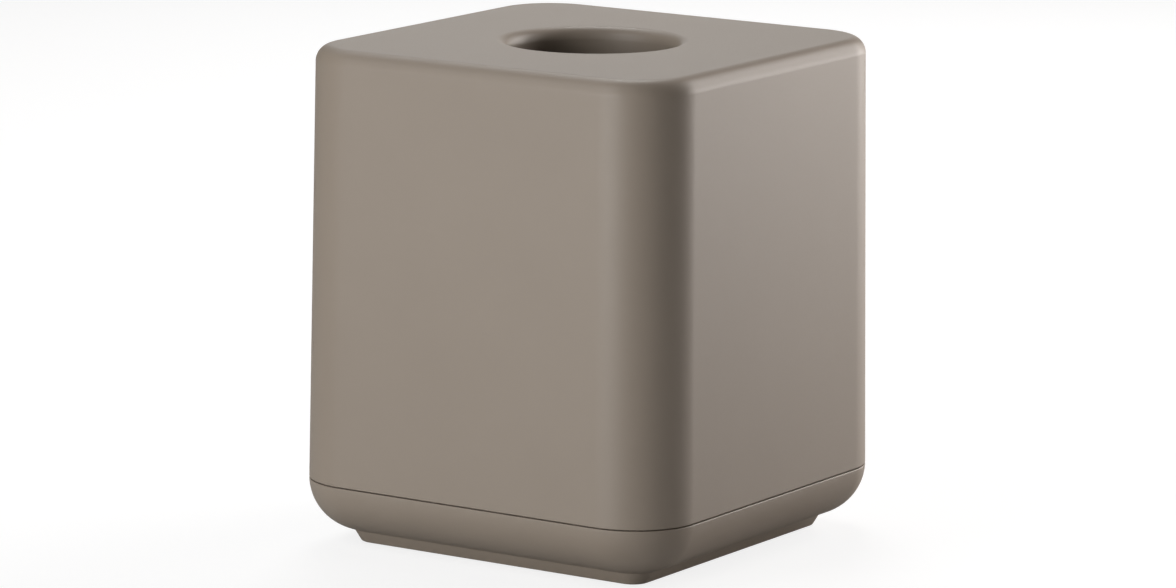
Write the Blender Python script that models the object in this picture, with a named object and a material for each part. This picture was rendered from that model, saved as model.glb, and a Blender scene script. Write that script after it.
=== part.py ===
"""Tissue box cover: a square moulded cover that lifts off a tray base standing on four non-slip pads.

Metres, with +Z up. The origin is in the middle of the footprint, on the surface that the pads stand on.
"""

import math

import bmesh
import bpy
from mathutils import Matrix, Vector

# Outline shared by both mouldings, at the seam between them
width = 0.130
corner_radius = 0.0205
least_corner_radius = 0.0006

# Cover
cover_height = 0.12785
draft_degrees = 0.7
top_round = 0.0048
mouth_radius = 0.0246
lip_round = 0.0038
collar_depth = 0.010

# Lap joint at the seam: the cover's thinned rim stands outside the base's tongue
clearance = 0.0003
rim_thickness = 0.0013
tongue_thickness = 0.0012
lap_height = 0.005
lead_in = 0.0004
edge_round = 0.0003

# Base
base_round = 0.0157
base_draft_degrees = 2.6
plinth_inset = 0.0154
plinth_height = 0.0038
plinth_lean_degrees = 31.0
plinth_root_round = 0.0015
plinth_edge_round = 0.0008
well_round = 0.001
floor_skin = 0.0015

# Fins inside the base, which carry and centre the tissue box
fin_thickness = 0.0018
seat_rise = 0.0082
seat_length = 0.0165
seat_chamfer = 0.001
horn_width = 0.0057
horn_lead = 0.001
horn_drop = 0.0015
fin_offset_share = 0.38

# Non-slip pads
pad_radius = 0.005
pad_sunk = 0.001
pad_proud = 0.0005
pad_chamfer = 0.0002
pad_edge_distance = 0.0096

# Colours
plastic_color = (0.302, 0.252, 0.204)
rubber_color = (0.05, 0.047, 0.043)

# Mesh fineness and cutting
corner_steps = 10
round_steps = 6
sweep_steps = 10
edge_steps = 2
pad_sides = 32
sharp_degrees = 30.0
cut_overrun = 0.002
weld_distance = 0.000001
round_limit_share = 0.45

# Sizes that follow from those above
half_width = width / 2
draft = math.tan(math.radians(draft_degrees))
base_draft = math.radians(base_draft_degrees)
plinth_lean = math.radians(plinth_lean_degrees)
wall = rim_thickness + clearance + tongue_thickness
pad_recess_depth = pad_sunk + clearance
floor_thickness = pad_recess_depth + floor_skin
plinth_bottom = pad_proud
floor_top = plinth_bottom + floor_thickness
bowl_centre = plinth_bottom + plinth_height + base_round
bowl_inset = base_round * math.cos(base_draft)
shelf_top = plinth_bottom + plinth_height + wall
ledge = bowl_centre - base_round * math.sin(base_draft) + edge_round
rim = ledge + clearance
top = rim + cover_height
well_inset = max(plinth_inset + wall, bowl_inset + well_round)
pad_place = half_width - plinth_inset - pad_edge_distance

pad_places = {
    "front_left": (-pad_place, -pad_place),
    "front_right": (pad_place, -pad_place),
    "back_left": (-pad_place, pad_place),
    "back_right": (pad_place, pad_place),
}


def clear_scene():
    for item in list(bpy.data.objects):
        bpy.data.objects.remove(item, do_unlink=True)


def new_collection(name):
    collection = bpy.data.collections.new(name)
    bpy.context.scene.collection.children.link(collection)
    return collection


def plastic(name, color, roughness):
    """A plain moulded finish: Principled BSDF without metal."""
    material = bpy.data.materials.new(name)
    material.use_nodes = True
    shader = material.node_tree.nodes["Principled BSDF"]
    shader.inputs["Base Color"].default_value = (*color, 1)
    shader.inputs["Roughness"].default_value = roughness
    shader.inputs["Metallic"].default_value = 0
    material.diffuse_color = (*color, 1)
    return material


def arc(centre, radius, start, end, steps):
    """Points of an arc in a profile's plane, from the angle start to the angle end, in degrees."""
    points = []
    for step in range(steps + 1):
        angle = math.radians(start + (end - start) * step / steps)
        points.append((centre[0] + radius * math.cos(angle), centre[1] + radius * math.sin(angle)))
    return points


def square_ring(inset, height):
    """The rounded square that lies this far inside the outer walls, which lean in above the seam."""
    scale = 1 - max(height - rim, 0) * draft / half_width
    half = half_width * scale - inset
    radius = max(corner_radius * scale - inset, least_corner_radius)
    middle = half - radius
    ring = []
    for corner, (across, along) in enumerate(((1, 1), (-1, 1), (-1, -1), (1, -1))):
        for step in range(corner_steps + 1):
            angle = math.pi / 2 * (corner + step / corner_steps)
            x = across * middle + radius * math.cos(angle)
            y = along * middle + radius * math.sin(angle)
            ring.append(Vector((x, y, height)))
    return ring


def round_ring(radius, height):
    """A circle with as many points as a rounded square, so that the two can be lofted."""
    count = 4 * (corner_steps + 1)
    ring = []
    for step in range(count):
        angle = math.tau * (step + 1 / 2) / count
        ring.append(Vector((radius * math.cos(angle), radius * math.sin(angle), height)))
    return ring


def distinct(points):
    """The profile without points that repeat the one before them."""
    kept = [points[0]]
    for point in points[1:]:
        if math.dist(point, kept[-1]) > weld_distance:
            kept.append(point)
    return kept


def loft(name, rings, closed):
    """A mesh whose skin runs from ring to ring, and back to the first if closed, or else has capped ends."""
    shape = bmesh.new()
    loops = [[shape.verts.new(point) for point in ring] for ring in rings]
    pairs = list(zip(loops, loops[1:]))
    if closed:
        pairs.append((loops[-1], loops[0]))
    else:
        shape.faces.new(reversed(loops[0]))
        shape.faces.new(loops[-1])
    for lower, upper in pairs:
        for here in range(len(lower)):
            after = (here + 1) % len(lower)
            shape.faces.new((lower[here], lower[after], upper[after], upper[here]))
    mesh = bpy.data.meshes.new(name)
    shape.to_mesh(mesh)
    shape.free()
    return mesh


def finish_surface(mesh):
    """Smooth rounds, with the real edges kept sharp."""
    mesh.shade_smooth()
    mesh.set_sharp_from_angle(angle=math.radians(sharp_degrees))


def add_part(name, mesh, material, collection, origin=Vector((0, 0, 0)), parent=None):
    """An object of the assembly, with its mesh kept in place and its origin moved to origin."""
    mesh.transform(Matrix.Translation(-origin))
    mesh.materials.append(material)
    part = bpy.data.objects.new(name, mesh)
    part.location = origin
    part.parent = parent
    collection.objects.link(part)
    return part


def add_helper(name, mesh, collection):
    """A shape that only cuts or joins, and isn't part of the assembly itself."""
    helper = bpy.data.objects.new(name, mesh)
    helper.hide_render = True
    helper.display_type = "WIRE"
    collection.objects.link(helper)
    return helper


def combine(part, name, operation, shapes):
    """Cuts or joins all shapes of a collection by one Boolean modifier."""
    modifier = part.modifiers.new(name, "BOOLEAN")
    modifier.operation = operation
    modifier.solver = "EXACT"
    modifier.operand_type = "COLLECTION"
    modifier.collection = shapes


def bake_modifiers(part):
    """Replaces the mesh by its modified form, so that the edges the modifiers made are shaded too."""
    graph = bpy.context.evaluated_depsgraph_get()
    mesh = bpy.data.meshes.new_from_object(part.evaluated_get(graph))
    mesh.name = part.name
    part.modifiers.clear()
    part.data = mesh
    finish_surface(mesh)


def plate(name, outline, thickness):
    """A flat plate with this outline in its own XY plane and half its thickness on each side of it."""
    curve = bpy.data.curves.new(name, "CURVE")
    curve.dimensions = "2D"
    curve.fill_mode = "BOTH"
    curve.extrude = thickness / 2
    spline = curve.splines.new("POLY")
    spline.points.add(len(outline) - 1)
    for point, (x, y) in zip(spline.points, outline):
        point.co = (x, y, 0, 1)
    spline.use_cyclic_u = True
    guide = bpy.data.objects.new(name, curve)
    bpy.context.scene.collection.objects.link(guide)
    graph = bpy.context.evaluated_depsgraph_get()
    mesh = bpy.data.meshes.new_from_object(guide.evaluated_get(graph))
    bpy.data.objects.remove(guide)
    shape = bmesh.new()
    shape.from_mesh(mesh)
    bmesh.ops.remove_doubles(shape, verts=shape.verts, dist=weld_distance)
    bmesh.ops.recalc_face_normals(shape, faces=shape.faces)
    shape.to_mesh(mesh)
    shape.free()
    return mesh


def cover_rings():
    """The cover's section: up the outside, over the top, down into the mouth, and back along the inside."""
    inner_round = max(top_round - wall, least_corner_radius)
    collar_root = max(lip_round - wall, least_corner_radius)
    outside = arc((edge_round, rim + edge_round), edge_round, 270, 180, edge_steps)
    outside += arc((top_round, top - top_round), top_round, 180, 90, round_steps)
    collar_end = top - collar_depth
    mouth = arc((mouth_radius + lip_round, top - lip_round), lip_round, 90, 180, round_steps)
    mouth += arc((mouth_radius + wall / 2, collar_end + wall / 2), wall / 2, 180, 360, round_steps)
    root = (mouth_radius + wall + collar_root, top - wall - collar_root)
    mouth += arc(root, collar_root, 180, 90, edge_steps)
    inner_corner = (wall + inner_round, top - wall - inner_round)
    inside = arc(inner_corner, inner_round, 90, 180, round_steps)
    inside += [(wall, rim + lap_height), (rim_thickness, rim + lap_height), (rim_thickness, rim)]
    rings = [square_ring(*point) for point in distinct(outside)]
    rings += [round_ring(*point) for point in distinct(mouth)]
    rings += [square_ring(*point) for point in distinct(inside)]
    return rings


def add_cover(collection):
    """One five-sided moulding, open at the bottom, with a rolled lip and collar round the mouth."""
    mesh = loft("cover", cover_rings(), closed=True)
    finish_surface(mesh)
    material = plastic("cover_plastic", plastic_color, 0.45)
    return add_part("cover", mesh, material, collection, origin=Vector((0, 0, rim)))


def underside_profile():
    """From the underside's middle outwards: the plinth's side, its root and the bowl up to the ledge."""
    edge = min(plinth_edge_round, plinth_height * round_limit_share)
    root = min(plinth_root_round, plinth_height * round_limit_share)
    edge_inset = plinth_inset + edge * (1 - math.sin(plinth_lean)) / math.cos(plinth_lean)
    points = arc((edge_inset, plinth_bottom + edge), edge, 270, 180 + plinth_lean_degrees, edge_steps)
    # The root's centre is one radius off the leaning side, and its arc ends where it meets the bowl.
    up = Vector((-math.sin(plinth_lean), math.cos(plinth_lean)))
    out = Vector((-math.cos(plinth_lean), -math.sin(plinth_lean)))
    foot = Vector((plinth_inset - bowl_inset, plinth_bottom - bowl_centre)) + out * root
    reach = base_round + root
    root_centre = foot - up * (foot.y + reach) / up.y
    if root_centre.x < 0:
        root_centre = foot - up * (foot.dot(up) + math.sqrt(reach**2 - foot.cross(up) ** 2))
    tilt = math.degrees(math.asin(max(-root_centre.x / reach, 0)))
    root_place = (bowl_inset + root_centre.x, bowl_centre + root_centre.y)
    points += arc(root_place, root, plinth_lean_degrees, 90 - tilt, round_steps // 2)
    points += arc((bowl_inset, bowl_centre), base_round, 270 - tilt, 180 + base_draft_degrees, sweep_steps)
    return points


def tray_profile():
    """From the ledge's outer edge inwards: the tongue, the bowl, the well over the plinth and the floor."""
    tongue = rim_thickness + clearance
    tongue_top = ledge + lap_height
    points = arc((edge_round, ledge - edge_round), edge_round, 180, 90, edge_steps)
    points += [(tongue, ledge), (tongue, tongue_top - lead_in)]
    points += [(tongue + lead_in, tongue_top), (wall, tongue_top)]
    points += arc((bowl_inset, bowl_centre), base_round - wall, 180, 270, sweep_steps)
    edge = min(well_round, (shelf_top - floor_top) * round_limit_share)
    points += arc((well_inset - edge, shelf_top - edge), edge, 90, 0, edge_steps)
    points += arc((well_inset + edge, floor_top + edge), edge, 180, 270, edge_steps)
    return points


def fin_outline():
    """A fin's side view: its seat and horn, and a back that runs along the middle of the tray's wall."""
    seat = floor_top + seat_rise
    horn_top = ledge - horn_drop
    horn_inset = wall + horn_width
    seat_end = horn_inset + seat_length
    floor_middle = floor_top - floor_thickness / 2
    foot = max(well_inset - wall / 2, bowl_inset)
    back_radius = base_round - wall / 2
    back_start = 180 + math.degrees(math.asin((bowl_centre - horn_top) / back_radius))
    points = [
        (seat_end, floor_middle),
        (seat_end, seat - seat_chamfer),
        (seat_end - seat_chamfer, seat),
        (horn_inset, seat),
        (horn_inset - horn_lead, horn_top),
    ]
    points += arc((bowl_inset, bowl_centre), back_radius, back_start, 270, sweep_steps)
    points += [(foot, shelf_top - wall / 2), (foot, floor_middle)]
    return [(half_width - inset, height) for inset, height in distinct(points)]


def add_fins(fins):
    """Two fins along each of the four sides of the tray."""
    mesh = plate("fin", fin_outline(), fin_thickness)
    upright = Matrix.Rotation(math.pi / 2, 4, "X")
    for side in range(4):
        turn = Matrix.Rotation(math.pi / 2 * side, 4, "Z")
        for across in (-1, 1):
            slide = Matrix.Translation((0, across * fin_offset_share * half_width, 0))
            helper = add_helper(f"fin_{side}_{across}", mesh, fins)
            helper.matrix_world = turn @ slide @ upright


def add_pad_recesses(recesses):
    """Cutters for the four round recesses in the underside."""
    for place, (x, y) in pad_places.items():
        depth = cut_overrun + pad_recess_depth
        shape = bmesh.new()
        middle = plinth_bottom + pad_recess_depth - depth / 2
        bmesh.ops.create_cone(
            shape,
            cap_ends=True,
            segments=pad_sides,
            radius1=pad_radius + clearance,
            radius2=pad_radius + clearance,
            depth=depth,
            matrix=Matrix.Translation((x, y, middle)),
        )
        mesh = bpy.data.meshes.new(f"recess_{place}")
        shape.to_mesh(mesh)
        shape.free()
        add_helper(f"recess_{place}", mesh, recesses)


def add_base(collection, cutters):
    """One tray moulding: plinth, bowl, ledge and tongue, with fins inside and recesses under it."""
    profile = distinct(underside_profile() + tray_profile())
    mesh = loft("base", [square_ring(*point) for point in profile], closed=False)
    material = plastic("base_plastic", plastic_color, 0.45)
    base = add_part("base", mesh, material, collection)
    fins = bpy.data.collections.new("fins")
    recesses = bpy.data.collections.new("pad_recesses")
    cutters.children.link(fins)
    cutters.children.link(recesses)
    add_fins(fins)
    add_pad_recesses(recesses)
    combine(base, "join_fins", "UNION", fins)
    combine(base, "cut_recesses", "DIFFERENCE", recesses)
    bake_modifiers(base)
    return base


def add_pads(collection, base):
    """Four round pads, seated in the recesses and standing proud of the plinth."""
    material = plastic("pad_rubber", rubber_color, 0.8)
    for place, (x, y) in pad_places.items():
        shape = bmesh.new()
        thickness = pad_sunk + pad_proud
        bmesh.ops.create_cone(
            shape,
            cap_ends=True,
            segments=pad_sides,
            radius1=pad_radius,
            radius2=pad_radius,
            depth=thickness,
            matrix=Matrix.Translation((x, y, thickness / 2)),
        )
        ends = [edge for edge in shape.edges if edge.verts[0].co.z == edge.verts[1].co.z]
        bmesh.ops.bevel(shape, geom=ends, offset=pad_chamfer, segments=1, affect="EDGES")
        mesh = bpy.data.meshes.new(f"foot_pad_{place}")
        shape.to_mesh(mesh)
        shape.free()
        finish_surface(mesh)
        add_part(f"foot_pad_{place}", mesh, material, collection, origin=Vector((x, y, 0)), parent=base)


def main():
    clear_scene()
    assembly = new_collection("tissue_box_cover")
    cutters = new_collection("cutters")
    cutters.hide_render = True
    base = add_base(assembly, cutters)
    add_cover(assembly)
    add_pads(assembly, base)


main()
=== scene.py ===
"""Tissue box cover: the rounded surfaces and the satin finish of a square moulded cover on its tray base.

Metres, with +Z up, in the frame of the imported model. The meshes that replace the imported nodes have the
same sections as they do, with finer rounds.
"""

import math

import bmesh
import bpy
from mathutils import Matrix, Vector


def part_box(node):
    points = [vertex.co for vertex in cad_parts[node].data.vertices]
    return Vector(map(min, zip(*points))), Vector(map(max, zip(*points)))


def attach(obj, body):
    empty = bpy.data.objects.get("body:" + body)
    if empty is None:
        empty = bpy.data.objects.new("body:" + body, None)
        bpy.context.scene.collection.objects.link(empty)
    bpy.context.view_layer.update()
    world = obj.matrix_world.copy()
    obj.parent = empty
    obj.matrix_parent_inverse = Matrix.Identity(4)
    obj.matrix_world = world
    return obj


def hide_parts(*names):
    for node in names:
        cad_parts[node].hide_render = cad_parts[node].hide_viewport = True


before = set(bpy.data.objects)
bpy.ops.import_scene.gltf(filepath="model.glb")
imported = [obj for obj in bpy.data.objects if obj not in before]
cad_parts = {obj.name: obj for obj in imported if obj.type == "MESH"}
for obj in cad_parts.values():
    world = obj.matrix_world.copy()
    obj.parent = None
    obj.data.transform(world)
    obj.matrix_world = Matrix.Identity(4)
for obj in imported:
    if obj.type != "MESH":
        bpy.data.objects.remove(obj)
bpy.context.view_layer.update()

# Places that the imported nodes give
cover_low, cover_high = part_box("cover")
base_low, base_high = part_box("base")
half_width = base_high.x
rim = cover_low.z
top = cover_high.z
plinth_bottom = base_low.z
tongue_top = base_high.z

# Outline shared by both mouldings
corner_radius = 0.0205
least_corner_radius = 0.0006
draft_degrees = 0.7
draft = math.tan(math.radians(draft_degrees))

# Cover
top_round = 0.0048
mouth_radius = 0.0246
lip_round = 0.0038
collar_depth = 0.010

# Lap joint at the seam
clearance = 0.0003
rim_thickness = 0.0013
tongue_thickness = 0.0012
lap_height = 0.005
lead_in = 0.0004
edge_round = 0.0003
wall = rim_thickness + clearance + tongue_thickness
ledge = rim - clearance

# Base
base_round = 0.0157
base_draft_degrees = 2.6
plinth_inset = 0.0154
plinth_height = 0.0038
plinth_lean_degrees = 31.0
plinth_root_round = 0.0015
plinth_edge_round = 0.0008
well_round = 0.001
floor_thickness = 0.0028
floor_top = plinth_bottom + floor_thickness
base_draft = math.radians(base_draft_degrees)
plinth_lean = math.radians(plinth_lean_degrees)
bowl_centre = plinth_bottom + plinth_height + base_round
bowl_inset = base_round * math.cos(base_draft)
shelf_top = plinth_bottom + plinth_height + wall
well_inset = max(plinth_inset + wall, bowl_inset + well_round)

# Fins inside the base
fin_thickness = 0.0018
fin_edge_round = 0.00025
seat_rise = 0.0082
seat_length = 0.0165
seat_chamfer = 0.001
horn_width = 0.0057
horn_lead = 0.001
horn_drop = 0.0015
fin_offset = 0.0247

# Pads and the recesses that they sit in
pad_edge_round = 0.0002
recess_depth = 0.0013
cut_overrun = 0.002

# Mesh fineness
corner_steps = 24
round_steps = 12
sweep_steps = 28
edge_steps = 4
fin_edge_steps = 1
pad_sides = 48
sharp_degrees = 30
weld_distance = 0.000001

# Finishes: a pair gives both ends of a range, and a larger scale gives a finer texture
plastic_colors = ((0.294, 0.245, 0.198), (0.310, 0.259, 0.210))
plastic_roughness = (0.43, 0.51)
plastic_flow_scale = 38
plastic_grain_scale = 2600
plastic_grain_strength = 0.25
plastic_grain_depth = 0.00001
rubber_colors = ((0.040, 0.038, 0.035), (0.062, 0.058, 0.053))
rubber_roughness = (0.72, 0.88)
rubber_dust_scale = 300
rubber_pit_scale = 1800
rubber_pit_strength = 0.5
rubber_pit_depth = 0.00004
cove_colors = ((0.19, 0.19, 0.19), (0.21, 0.21, 0.21))
board_colors = ((0.45, 0.45, 0.45), (0.47, 0.47, 0.47))
card_roughness = 0.9
card_cloud_scale = 1.5
noise_low = 0.3
noise_high = 0.7

# Camera: where it stands, measured from the front wall's outward direction, and what it aims at
camera_azimuth = math.radians(33.4)
camera_pitch = math.radians(10.79)
camera_roll = math.radians(0.47)
camera_distance = 1.7678
camera_aim = Vector((-0.00081, -0.00017, 0.07211))
sensor_width = 36.0
image_width = 1176
focal_pixels = 6011

# Studio: a cove that only the camera sees, a board that only the object sees, and softboxes round them
cove_radius = 8.0
cove_corner = 1.5
cove_height = 6.0
cove_glow = 0.82
board_radius = 1.5
board_gap = 0.0001
stage_sides = 96
world_light = 0.005
object_middle = Vector((0, 0, top / 2))
softbox_distance = 1.2
softboxes = {
    "left_low": {"azimuth": -22, "elevation": 6, "width": 0.45, "height": 0.5, "watts": 2.9},
    "left_high": {"azimuth": -22, "elevation": 44, "width": 0.45, "height": 0.5, "watts": 3.9},
    "front_low": {"azimuth": -5, "elevation": 5, "width": 0.5, "height": 0.4, "watts": 5.0},
    "right_low": {"azimuth": 153, "elevation": 4, "width": 0.9, "height": 0.4, "watts": 10.3},
    "right_middle": {"azimuth": 153, "elevation": 25, "width": 0.6, "height": 0.5, "watts": 3.7},
    "right_back": {"azimuth": 165, "elevation": 28, "width": 0.4, "height": 0.5, "watts": 2.9},
    "overhead": {"azimuth": -130, "elevation": 58, "width": 0.8, "height": 0.8, "watts": 3.0},
    "back_high": {"azimuth": -145, "elevation": 52, "width": 0.4, "height": 0.25, "watts": 2.4},
    "back_low": {"azimuth": -147, "elevation": 15, "width": 0.6, "height": 0.4, "watts": 0.85},
}
plain_white = (1.0, 1.0, 1.0)
warm_white = (1.0, 0.955, 0.925)
warm_softboxes = ("right_low", "right_middle", "right_back")


def arc(centre, radius, start, end, steps):
    """Points of an arc in a profile's plane, from the angle start to the angle end, in degrees."""
    points = []
    for step in range(steps + 1):
        angle = math.radians(start + (end - start) * step / steps)
        points.append((centre[0] + radius * math.cos(angle), centre[1] + radius * math.sin(angle)))
    return points


def distinct(points):
    """The profile without points that repeat the one before them."""
    kept = [points[0]]
    for point in points[1:]:
        if math.dist(point, kept[-1]) > weld_distance:
            kept.append(point)
    return kept


def square_ring(inset, height):
    """The rounded square that lies this far inside the outer walls, which lean in above the seam."""
    scale = 1 - max(height - rim, 0) * draft / half_width
    half = half_width * scale - inset
    radius = max(corner_radius * scale - inset, least_corner_radius)
    middle = half - radius
    ring = []
    for corner, (across, along) in enumerate(((1, 1), (-1, 1), (-1, -1), (1, -1))):
        for step in range(corner_steps + 1):
            angle = math.pi / 2 * (corner + step / corner_steps)
            x = across * middle + radius * math.cos(angle)
            y = along * middle + radius * math.sin(angle)
            ring.append(Vector((x, y, height)))
    return ring


def round_ring(radius, height, sides=4 * (corner_steps + 1)):
    """A circle, with as many points as a rounded square unless told otherwise."""
    ring = []
    for side in range(sides):
        angle = math.tau * (side + 1 / 2) / sides
        ring.append(Vector((radius * math.cos(angle), radius * math.sin(angle), height)))
    return ring


def loft(name, rings, closed):
    """A mesh whose skin runs from ring to ring, and back to the first if closed, or else has capped ends."""
    shape = bmesh.new()
    loops = [[shape.verts.new(point) for point in ring] for ring in rings]
    pairs = list(zip(loops, loops[1:]))
    if closed:
        pairs.append((loops[-1], loops[0]))
    else:
        shape.faces.new(reversed(loops[0]))
        shape.faces.new(loops[-1])
    for lower, upper in pairs:
        for here in range(len(lower)):
            after = (here + 1) % len(lower)
            shape.faces.new((lower[here], lower[after], upper[after], upper[here]))
    mesh = bpy.data.meshes.new(name)
    shape.to_mesh(mesh)
    shape.free()
    return mesh


def add_object(name, data):
    item = bpy.data.objects.new(name, data)
    bpy.context.scene.collection.objects.link(item)
    return item


def smooth(mesh):
    """Smooth rounds, with the real edges kept sharp."""
    mesh.shade_smooth()
    mesh.set_sharp_from_angle(angle=math.radians(sharp_degrees))


def evaluated_mesh(item):
    graph = bpy.context.evaluated_depsgraph_get()
    return bpy.data.meshes.new_from_object(item.evaluated_get(graph))


def dress(name, mesh, material, body, node):
    """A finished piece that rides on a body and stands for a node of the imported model."""
    smooth(mesh)
    mesh.name = name
    mesh.materials.clear()
    mesh.materials.append(material)
    piece = add_object(name, mesh)
    flat_faces_first = piece.modifiers.new("even_shading", "WEIGHTED_NORMAL")
    flat_faces_first.keep_sharp = True
    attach(piece, body)
    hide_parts(node)


class Nodes:
    """A short way to write a material's node tree."""

    def __init__(self, name):
        self.material = bpy.data.materials.new(name)
        self.material.use_nodes = True
        self.tree = self.material.node_tree
        self.shader = self.tree.nodes["Principled BSDF"]
        self.place = self.add("ShaderNodeTexCoord").outputs["Object"]

    def add(self, kind, **inputs):
        node = self.tree.nodes.new(kind)
        for key, value in inputs.items():
            self.put(node.inputs[key.replace("_", " ")], value)
        return node

    def put(self, socket, value):
        if isinstance(value, bpy.types.NodeSocket):
            self.tree.links.new(value, socket)
        else:
            socket.default_value = value

    def noise(self, scale, detail):
        """Fine or broad unevenness, from 0 to 1 with a mean of one half."""
        return self.add("ShaderNodeTexNoise", Vector=self.place, Scale=scale, Detail=detail).outputs["Fac"]

    def spread(self, value, low, high):
        """Maps the middle of a noise's range to a range of values."""
        node = self.add("ShaderNodeMapRange", Value=value, To_Min=low, To_Max=high)
        node.inputs["From Min"].default_value = noise_low
        node.inputs["From Max"].default_value = noise_high
        return node.outputs["Result"]

    def blend(self, factor, first, second):
        node = self.add("ShaderNodeMix")
        node.data_type = "RGBA"
        colors = [socket for socket in node.inputs if socket.type == "RGBA"]
        self.put(node.inputs[0], factor)
        self.put(colors[0], (*first, 1))
        self.put(colors[1], (*second, 1))
        return [socket for socket in node.outputs if socket.type == "RGBA"][0]

    def bump(self, height, strength, distance):
        node = self.add("ShaderNodeBump", Height=height, Strength=strength, Distance=distance)
        return node.outputs["Normal"]


def moulded_plastic(name):
    """Warm grey plastic with a satin, faintly grained tool finish and hardly visible flow in its colour."""
    nodes = Nodes(name)
    flow = nodes.noise(scale=plastic_flow_scale, detail=2)
    grain = nodes.noise(scale=plastic_grain_scale, detail=1)
    nodes.put(nodes.shader.inputs["Base Color"], nodes.blend(flow, *plastic_colors))
    nodes.put(nodes.shader.inputs["Roughness"], nodes.spread(grain, *plastic_roughness))
    relief = nodes.bump(grain, plastic_grain_strength, plastic_grain_depth)
    nodes.put(nodes.shader.inputs["Normal"], relief)
    return nodes.material


def dull_rubber(name):
    """Dark non-slip elastomer with a matt, finely pitted face."""
    nodes = Nodes(name)
    pits = nodes.noise(scale=rubber_pit_scale, detail=3)
    dust = nodes.noise(scale=rubber_dust_scale, detail=2)
    nodes.put(nodes.shader.inputs["Base Color"], nodes.blend(dust, *rubber_colors))
    nodes.put(nodes.shader.inputs["Roughness"], nodes.spread(pits, *rubber_roughness))
    relief = nodes.bump(pits, rubber_pit_strength, rubber_pit_depth)
    nodes.put(nodes.shader.inputs["Normal"], relief)
    return nodes.material


def stage_card(name, colors, glow):
    """Matt card for the stage. A glow keeps the cove as pale far away as it is near the lights."""
    nodes = Nodes(name)
    cloud = nodes.noise(scale=card_cloud_scale, detail=1)
    nodes.put(nodes.shader.inputs["Base Color"], nodes.blend(cloud, *colors))
    nodes.shader.inputs["Roughness"].default_value = card_roughness
    nodes.shader.inputs["Emission Color"].default_value = (1, 1, 1, 1)
    nodes.shader.inputs["Emission Strength"].default_value = glow
    return nodes.material


def cover_rings():
    """The cover's section: up the outside, over the top, down into the mouth, and back along the inside."""
    inner_round = max(top_round - wall, least_corner_radius)
    collar_root = max(lip_round - wall, least_corner_radius)
    outside = arc((edge_round, rim + edge_round), edge_round, 270, 180, edge_steps)
    outside += arc((top_round, top - top_round), top_round, 180, 90, round_steps)
    collar_end = top - collar_depth
    mouth = arc((mouth_radius + lip_round, top - lip_round), lip_round, 90, 180, round_steps)
    mouth += arc((mouth_radius + wall / 2, collar_end + wall / 2), wall / 2, 180, 360, round_steps)
    root = (mouth_radius + wall + collar_root, top - wall - collar_root)
    mouth += arc(root, collar_root, 180, 90, edge_steps)
    inside = arc((wall + inner_round, top - wall - inner_round), inner_round, 90, 180, edge_steps)
    inside += [(wall, rim + lap_height), (rim_thickness, rim + lap_height), (rim_thickness, rim)]
    rings = [square_ring(*point) for point in distinct(outside)]
    rings += [round_ring(*point) for point in distinct(mouth)]
    rings += [square_ring(*point) for point in distinct(inside)]
    return rings


def underside_profile():
    """From the underside's middle outwards: the plinth's side, its root and the bowl up to the ledge."""
    edge = plinth_edge_round
    root = plinth_root_round
    edge_inset = plinth_inset + edge * (1 - math.sin(plinth_lean)) / math.cos(plinth_lean)
    points = arc((edge_inset, plinth_bottom + edge), edge, 270, 180 + plinth_lean_degrees, edge_steps)
    # The root's centre is one radius off the leaning side, and its arc ends where it meets the bowl.
    up = Vector((-math.sin(plinth_lean), math.cos(plinth_lean)))
    out = Vector((-math.cos(plinth_lean), -math.sin(plinth_lean)))
    foot = Vector((plinth_inset - bowl_inset, plinth_bottom - bowl_centre)) + out * root
    reach = base_round + root
    root_centre = foot - up * (foot.dot(up) + math.sqrt(reach**2 - foot.cross(up) ** 2))
    tilt = math.degrees(math.asin(-root_centre.x / reach))
    root_place = (bowl_inset + root_centre.x, bowl_centre + root_centre.y)
    points += arc(root_place, root, plinth_lean_degrees, 90 - tilt, round_steps)
    points += arc((bowl_inset, bowl_centre), base_round, 270 - tilt, 180 + base_draft_degrees, sweep_steps)
    return points


def tray_profile():
    """From the ledge's outer edge inwards: the tongue, the bowl, the well over the plinth and the floor."""
    tongue = rim_thickness + clearance
    edge = well_round
    points = arc((edge_round, ledge - edge_round), edge_round, 180, 90, edge_steps)
    points += [(tongue, ledge), (tongue, tongue_top - lead_in)]
    points += [(tongue + lead_in, tongue_top), (wall, tongue_top)]
    points += arc((bowl_inset, bowl_centre), base_round - wall, 180, 270, sweep_steps)
    points += arc((well_inset - edge, shelf_top - edge), edge, 90, 0, edge_steps)
    points += arc((well_inset + edge, floor_top + edge), edge, 180, 270, edge_steps)
    return points


def fin_outline():
    """A fin's side view: its seat and horn, and a back that runs along the middle of the tray's wall."""
    seat = floor_top + seat_rise
    horn_top = ledge - horn_drop
    horn_inset = wall + horn_width
    seat_end = horn_inset + seat_length
    floor_middle = floor_top - floor_thickness / 2
    foot = max(well_inset - wall / 2, bowl_inset)
    back_radius = base_round - wall / 2
    back_start = 180 + math.degrees(math.asin((bowl_centre - horn_top) / back_radius))
    points = [
        (seat_end, floor_middle),
        (seat_end, seat - seat_chamfer),
        (seat_end - seat_chamfer, seat),
        (horn_inset, seat),
        (horn_inset - horn_lead, horn_top),
    ]
    points += arc((bowl_inset, bowl_centre), back_radius, back_start, 270, sweep_steps // 2)
    points += [(foot, shelf_top - wall / 2), (foot, floor_middle)]
    return [(half_width - inset, height) for inset, height in distinct(points)]


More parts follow.
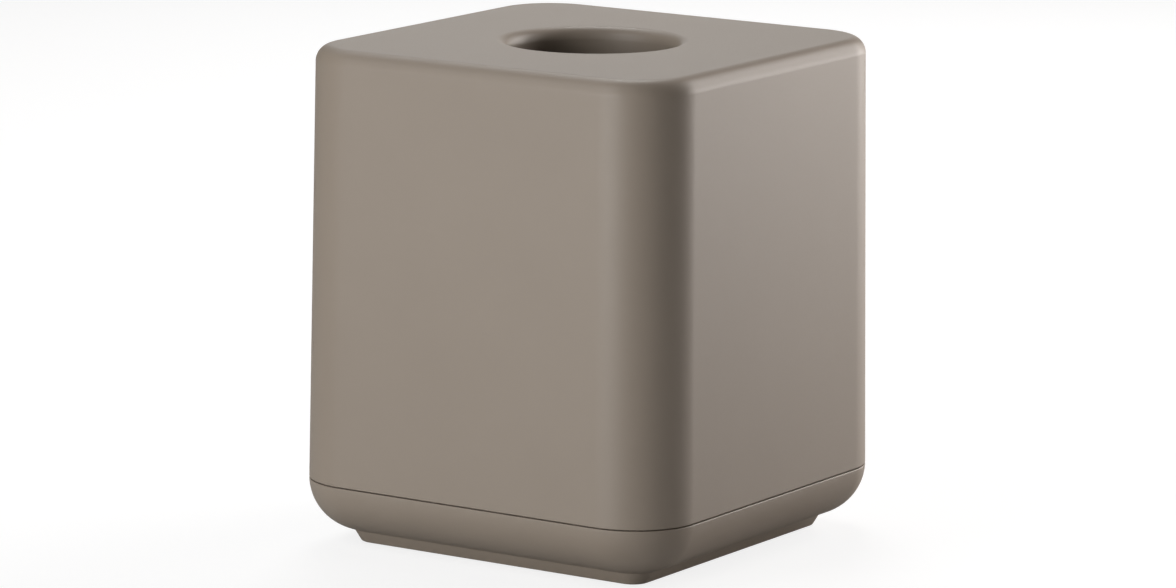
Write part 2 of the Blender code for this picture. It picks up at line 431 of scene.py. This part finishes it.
def fin_mesh():
    """A fin with softened edges, upright along the X axis."""
    curve = bpy.data.curves.new("fin", "CURVE")
    curve.dimensions = "2D"
    curve.fill_mode = "BOTH"
    curve.bevel_depth = fin_edge_round
    curve.bevel_resolution = fin_edge_steps
    curve.offset = -fin_edge_round
    curve.extrude = fin_thickness / 2 - fin_edge_round
    outline = fin_outline()
    spline = curve.splines.new("POLY")
    spline.points.add(len(outline) - 1)
    for point, (x, y) in zip(spline.points, outline):
        point.co = (x, y, 0, 1)
    spline.use_cyclic_u = True
    guide = add_object("fin", curve)
    mesh = evaluated_mesh(guide)
    bpy.data.objects.remove(guide)
    shape = bmesh.new()
    shape.from_mesh(mesh)
    bmesh.ops.remove_doubles(shape, verts=shape.verts, dist=weld_distance)
    bmesh.ops.recalc_face_normals(shape, faces=shape.faces)
    bmesh.ops.rotate(shape, verts=shape.verts, matrix=Matrix.Rotation(math.pi / 2, 3, "X"))
    shape.to_mesh(mesh)
    shape.free()
    return mesh


def joined(name, meshes):
    """One mesh with all of these in it, each turned and moved by its own matrix."""
    shape = bmesh.new()
    for mesh, matrix in meshes:
        copy = mesh.copy()
        copy.transform(matrix)
        shape.from_mesh(copy)
        bpy.data.meshes.remove(copy)
    mesh = bpy.data.meshes.new(name)
    shape.to_mesh(mesh)
    shape.free()
    return mesh


def combine(mesh, operation, tool_mesh):
    """The mesh joined with, or cut by, another one."""
    item = add_object("blank", mesh)
    tool = add_object("tool", tool_mesh)
    modifier = item.modifiers.new("combine", "BOOLEAN")
    modifier.operation = operation
    modifier.solver = "EXACT"
    modifier.object = tool
    result = evaluated_mesh(item)
    bpy.data.objects.remove(item)
    bpy.data.objects.remove(tool)
    return result


def all_fins():
    """Two fins along each of the four sides of the tray."""
    mesh = fin_mesh()
    placed = []
    for side in range(4):
        turn = Matrix.Rotation(math.pi / 2 * side, 4, "Z")
        for across in (-fin_offset, fin_offset):
            placed.append((mesh, turn @ Matrix.Translation((0, across, 0))))
    return joined("fins", placed)


def pad_nodes():
    """Each pad's name, the middle of its foot, its radius and its thickness."""
    pads = []
    for name in sorted(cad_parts):
        if name.startswith("foot_pad"):
            low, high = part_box(name)
            middle = (low + high) / 2
            foot = Vector((middle.x, middle.y, low.z))
            pads.append((name, foot, (high.x - low.x) / 2, high.z - low.z))
    return pads


def all_recesses():
    """Cutters for the round recesses that the pads sit in."""
    placed = []
    for name, foot, radius, _ in pad_nodes():
        rings = [round_ring(radius + clearance, plinth_bottom - cut_overrun, pad_sides)]
        rings += [round_ring(radius + clearance, plinth_bottom + recess_depth, pad_sides)]
        placed.append((loft(name, rings, closed=False), Matrix.Translation((foot.x, foot.y, 0))))
    return joined("recesses", placed)


def add_cover(material):
    """One five-sided moulding with a rolled lip and collar round the dispensing mouth."""
    mesh = loft("cover", cover_rings(), closed=True)
    dress("cover_shell", mesh, material, "cover", "cover")


def add_base(material):
    """One tray moulding with fins inside it and recesses under it."""
    profile = distinct(underside_profile() + tray_profile())
    mesh = loft("base", [square_ring(*point) for point in profile], closed=False)
    mesh = combine(mesh, "UNION", all_fins())
    mesh = combine(mesh, "DIFFERENCE", all_recesses())
    dress("base_tray", mesh, material, "base", "base")


def add_pads(material):
    """Four round pads with softened edges."""
    edge = pad_edge_round
    for name, foot, radius, thickness in pad_nodes():
        profile = arc((radius - edge, edge), edge, 270, 360, edge_steps)
        profile += arc((radius - edge, thickness - edge), edge, 0, 90, edge_steps)
        mesh = loft(name, [round_ring(*point, pad_sides) for point in profile], closed=False)
        mesh.transform(Matrix.Translation(foot))
        dress(f"{name}_disc", mesh, material, "base", name)


def lathe(name, rings):
    """An open mesh of revolution, from the middle of its floor outwards."""
    shape = bmesh.new()
    middle = shape.verts.new((0, 0, rings[0][0].z))
    loops = [[shape.verts.new(point) for point in ring] for ring in rings]
    for here in range(len(rings[0])):
        after = (here + 1) % len(rings[0])
        shape.faces.new((middle, loops[0][here], loops[0][after]))
        for inner, outer in zip(loops, loops[1:]):
            shape.faces.new((inner[here], outer[here], outer[after], inner[after]))
    mesh = bpy.data.meshes.new(name)
    shape.to_mesh(mesh)
    shape.free()
    return mesh


def add_backdrop(material):
    """A pale cove, whose level floor curves up into a round wall. Only the camera sees it."""
    profile = arc((cove_radius - cove_corner, cove_corner), cove_corner, 270, 360, round_steps)
    profile += [(cove_radius, cove_height)]
    mesh = lathe("backdrop", [round_ring(*point, sides=stage_sides) for point in profile])
    mesh.shade_smooth()
    mesh.materials.append(material)
    backdrop = add_object("backdrop", mesh)
    backdrop.visible_diffuse = False
    backdrop.visible_glossy = False
    backdrop.visible_shadow = False


def add_board(material):
    """The grey board under the object, unseen by the camera, which throws light back up at it."""
    mesh = lathe("board", [round_ring(board_radius, -board_gap, sides=stage_sides)])
    mesh.materials.append(material)
    board = add_object("board", mesh)
    board.visible_camera = False


def direction(azimuth, elevation):
    """The unit vector towards an azimuth, measured from the front wall's outward direction, in radians."""
    level = math.cos(elevation)
    return Vector((math.sin(azimuth) * level, -math.cos(azimuth) * level, math.sin(elevation)))


def add_softbox(name, color, azimuth, elevation, width, height, watts):
    """A soft rectangular light that faces the object. The angles are in degrees."""
    light = bpy.data.lights.new(name, "AREA")
    light.color = color
    light.shape = "RECTANGLE"
    light.size = width
    light.size_y = height
    light.energy = watts
    lamp = add_object(name, light)
    away = direction(math.radians(azimuth), math.radians(elevation))
    lamp.location = object_middle + away * softbox_distance
    lamp.rotation_euler = away.to_track_quat("Z", "Y").to_euler()


def add_world(brightness):
    world = bpy.data.worlds.new("studio")
    world.use_nodes = True
    world.node_tree.nodes["Background"].inputs["Color"].default_value = (1, 1, 1, 1)
    world.node_tree.nodes["Background"].inputs["Strength"].default_value = brightness
    bpy.context.scene.world = world


def add_camera():
    """The camera, at the photograph's viewing angle."""
    lens = bpy.data.cameras.new("camera")
    lens.sensor_width = sensor_width
    lens.lens = sensor_width * focal_pixels / image_width
    camera = add_object("camera", lens)
    back = direction(camera_azimuth, camera_pitch)
    right = Vector((math.cos(camera_azimuth), math.sin(camera_azimuth), 0))
    up = back.cross(right)
    stand = Matrix.Translation(camera_aim + back * camera_distance)
    level_view = Matrix((right, up, back)).transposed().to_4x4()
    camera.matrix_world = stand @ level_view @ Matrix.Rotation(camera_roll, 4, "Z")
    bpy.context.scene.camera = camera


def main():
    plastic = moulded_plastic("warm_grey_plastic")
    add_cover(plastic)
    add_base(plastic)
    add_pads(dull_rubber("pad_rubber_finish"))
    add_backdrop(stage_card("stage_white", cove_colors, glow=cove_glow))
    add_board(stage_card("stage_grey", board_colors, glow=0))
    add_world(world_light)
    for name, settings in softboxes.items():
        color = warm_white if name in warm_softboxes else plain_white
        add_softbox(f"softbox_{name}", color, **settings)
    add_camera()
    bpy.context.scene.view_settings.view_transform = "Standard"


main()
